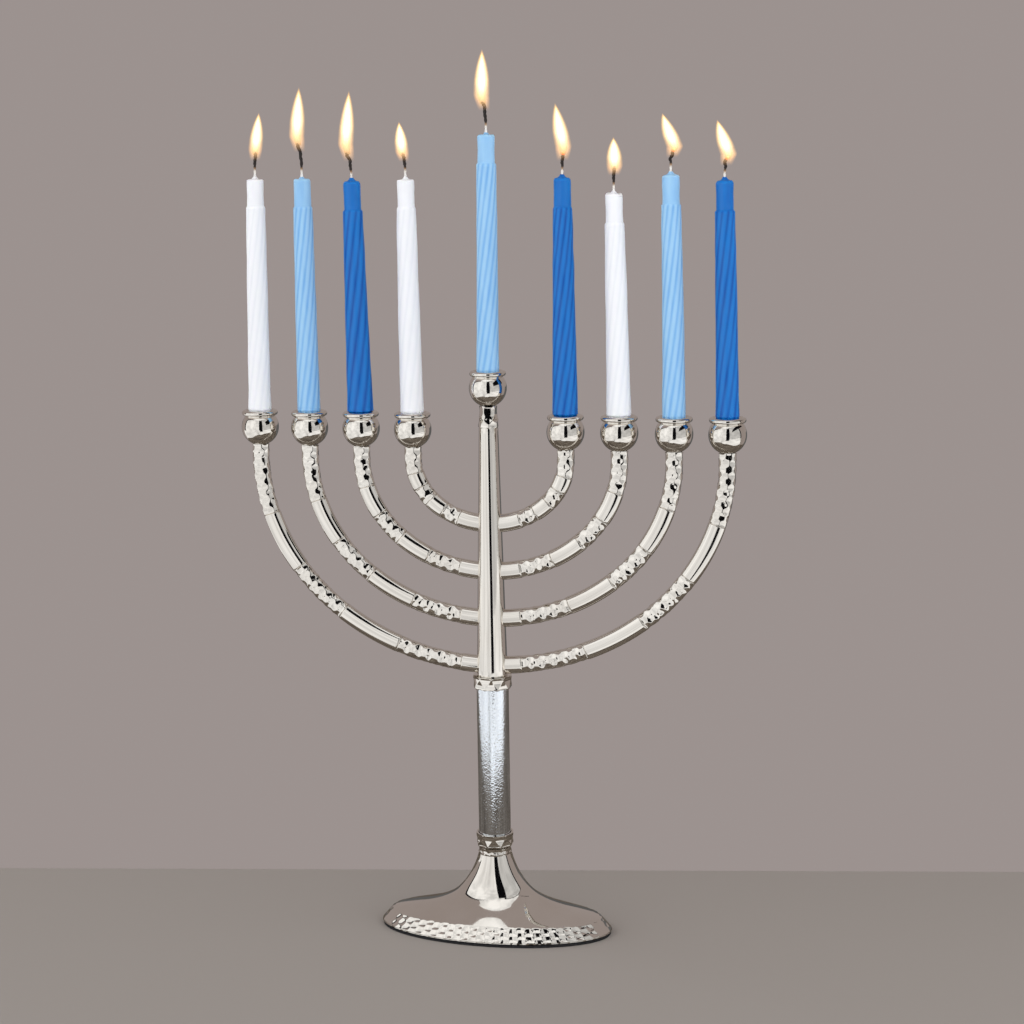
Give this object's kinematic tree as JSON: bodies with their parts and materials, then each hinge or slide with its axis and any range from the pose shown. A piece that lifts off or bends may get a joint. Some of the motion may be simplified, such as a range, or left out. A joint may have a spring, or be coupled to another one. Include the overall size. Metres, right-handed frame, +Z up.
{
  "type": "menorah",
  "caption": "Nickel-plated menorah with curved hammered arms, ball cups, a tube stem and an oval base, holding lit taper candles that lift out of their cups.",
  "frame": {"origin": "middle of the oval base on the plane it rests on", "axes": "+Z up along the column, +X along the row of cups towards the right-hand arms, -Y towards the front"},
  "size_m": [0.1972, 0.044, 0.3226],
  "materials": {
    "nickel": "polished warm nickel plate, hammered in places",
    "tube_steel": "polished chromed steel tube with a fine speckle",
    "plated_steel": "zinc-plated fasteners",
    "pad_foam": "matte black foam",
    "wax_white": "satin wax, slightly translucent",
    "wax_light_blue": "satin wax, slightly translucent",
    "wax_dark_blue": "satin wax, slightly translucent",
    "wick": "cotton, charred at the end"
  },
  "bodies": {
    "stand": {"base": "nickel", "base_pad": "pad_foam", "base_washer": "plated_steel", "base_nut": "plated_steel", "tie_rod": "plated_steel", "lower_collar": "nickel", "stem_tube": "tube_steel", "upper_collar": "nickel", "column": "nickel", "arm_left_1": "nickel", "arm_left_2": "nickel", "arm_left_3": "nickel", "arm_left_4": "nickel", "arm_right_1": "nickel", "arm_right_2": "nickel", "arm_right_3": "nickel", "arm_right_4": "nickel", "cup_shamash": "nickel", "cup_left_1": "nickel", "cup_left_2": "nickel", "cup_left_3": "nickel", "cup_left_4": "nickel", "cup_right_1": "nickel", "cup_right_2": "nickel", "cup_right_3": "nickel", "cup_right_4": "nickel", "cup_screw_shamash": "plated_steel", "cup_screw_left_1": "plated_steel", "cup_screw_left_2": "plated_steel", "cup_screw_left_3": "plated_steel", "cup_screw_left_4": "plated_steel", "cup_screw_right_1": "plated_steel", "cup_screw_right_2": "plated_steel", "cup_screw_right_3": "plated_steel", "cup_screw_right_4": "plated_steel"},
    "candle_shamash": {"candle_shamash": "wax_light_blue", "wick_shamash": "wick"},
    "candle_left_1": {"candle_left_1": "wax_white", "wick_left_1": "wick"},
    "candle_left_2": {"candle_left_2": "wax_dark_blue", "wick_left_2": "wick"},
    "candle_left_3": {"candle_left_3": "wax_light_blue", "wick_left_3": "wick"},
    "candle_left_4": {"candle_left_4": "wax_white", "wick_left_4": "wick"},
    "candle_right_1": {"candle_right_1": "wax_dark_blue", "wick_right_1": "wick"},
    "candle_right_2": {"candle_right_2": "wax_white", "wick_right_2": "wick"},
    "candle_right_3": {"candle_right_3": "wax_light_blue", "wick_right_3": "wick"},
    "candle_right_4": {"candle_right_4": "wax_dark_blue", "wick_right_4": "wick"}
  },
  "joints": [
    {"name": "candle_shamash_lift", "type": "slide", "parent": "stand", "child": "candle_shamash", "axis": [0.0087, 0, 1], "range_m": [0, 0.03]},
    {"name": "candle_left_1_lift", "type": "slide", "parent": "stand", "child": "candle_left_1", "axis": [-0.007, 0, 1], "range_m": [0, 0.03]},
    {"name": "candle_left_2_lift", "type": "slide", "parent": "stand", "child": "candle_left_2", "axis": [-0.0122, 0, 0.9999], "range_m": [0, 0.03]},
    {"name": "candle_left_3_lift", "type": "slide", "parent": "stand", "child": "candle_left_3", "axis": [0, 0, 1], "range_m": [0, 0.03]},
    {"name": "candle_left_4_lift", "type": "slide", "parent": "stand", "child": "candle_left_4", "axis": [0.014, 0, 0.9999], "range_m": [0, 0.03]},
    {"name": "candle_right_1_lift", "type": "slide", "parent": "stand", "child": "candle_right_1", "axis": [-0.0035, 0, 1], "range_m": [0, 0.03]},
    {"name": "candle_right_2_lift", "type": "slide", "parent": "stand", "child": "candle_right_2", "axis": [-0.0175, 0, 0.9998], "range_m": [0, 0.03]},
    {"name": "candle_right_3_lift", "type": "slide", "parent": "stand", "child": "candle_right_3", "axis": [-0.0122, 0, 0.9999], "range_m": [0, 0.03]},
    {"name": "candle_right_4_lift", "type": "slide", "parent": "stand", "child": "candle_right_4", "axis": [-0.0157, 0, 0.9999], "range_m": [0, 0.03]}
  ]
}
